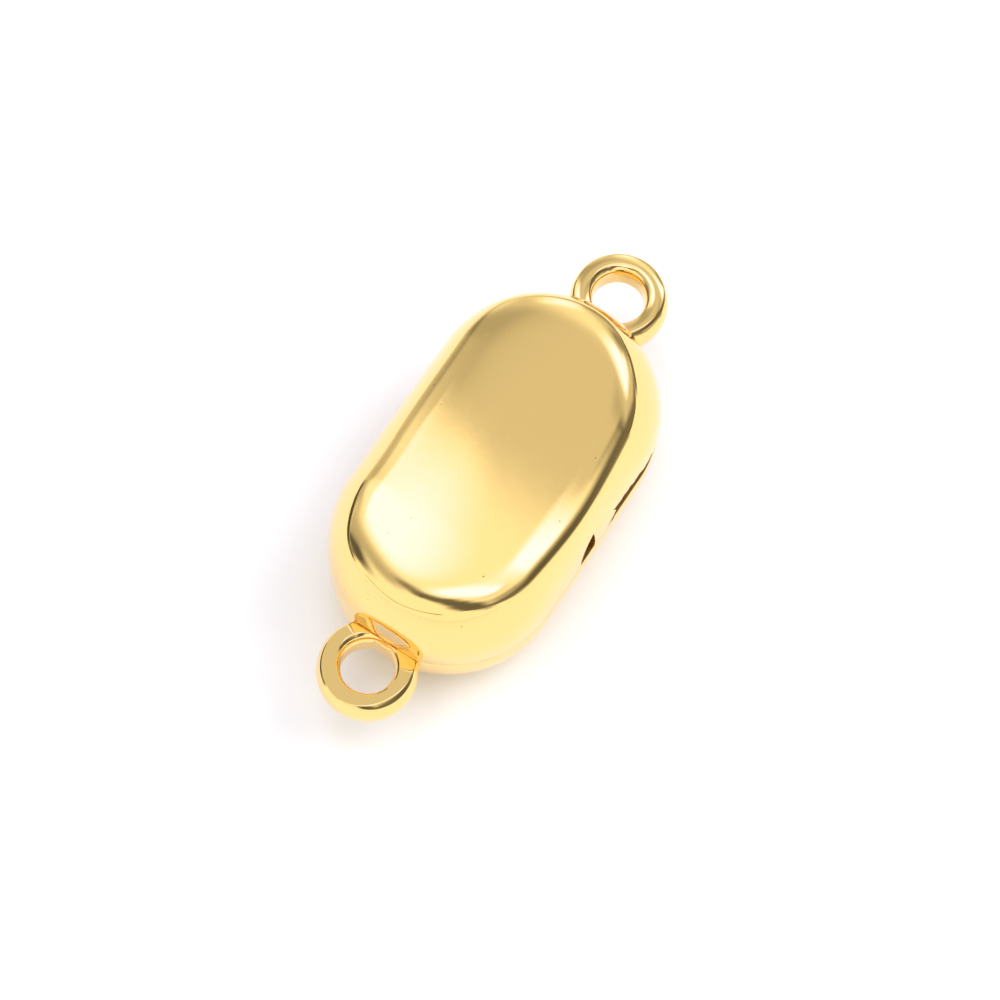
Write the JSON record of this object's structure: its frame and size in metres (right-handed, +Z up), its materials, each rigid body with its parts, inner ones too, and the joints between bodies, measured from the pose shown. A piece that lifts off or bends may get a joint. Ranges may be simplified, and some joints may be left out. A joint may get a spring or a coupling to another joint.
{
  "type": "magnetic clasp",
  "caption": "Oblong magnetic clasp: a keyed pair of polished cast halves that lift apart at a level seam, each with a ring at its own end.",
  "frame": {"origin": "middle of the body, on the surface that the clasp lies on", "axes": "+X along the clasp towards the upper half's ring, +Z up, the way the upper half lifts off"},
  "size_m": [0.0186, 0.008, 0.0065],
  "materials": {
    "gold_plate": "polished gold plate on cast brass",
    "magnet": "nickel-plated sintered magnet"
  },
  "bodies": {
    "lower_body": {"lower_half": "gold_plate", "lower_magnet": "magnet"},
    "upper_body": {"upper_half": "gold_plate", "upper_magnet": "magnet"}
  },
  "joints": [
    {"name": "lift_off", "type": "slide", "parent": "lower_body", "child": "upper_body", "axis": [0, 0, 1], "range_m": [0, 0.008]}
  ]
}
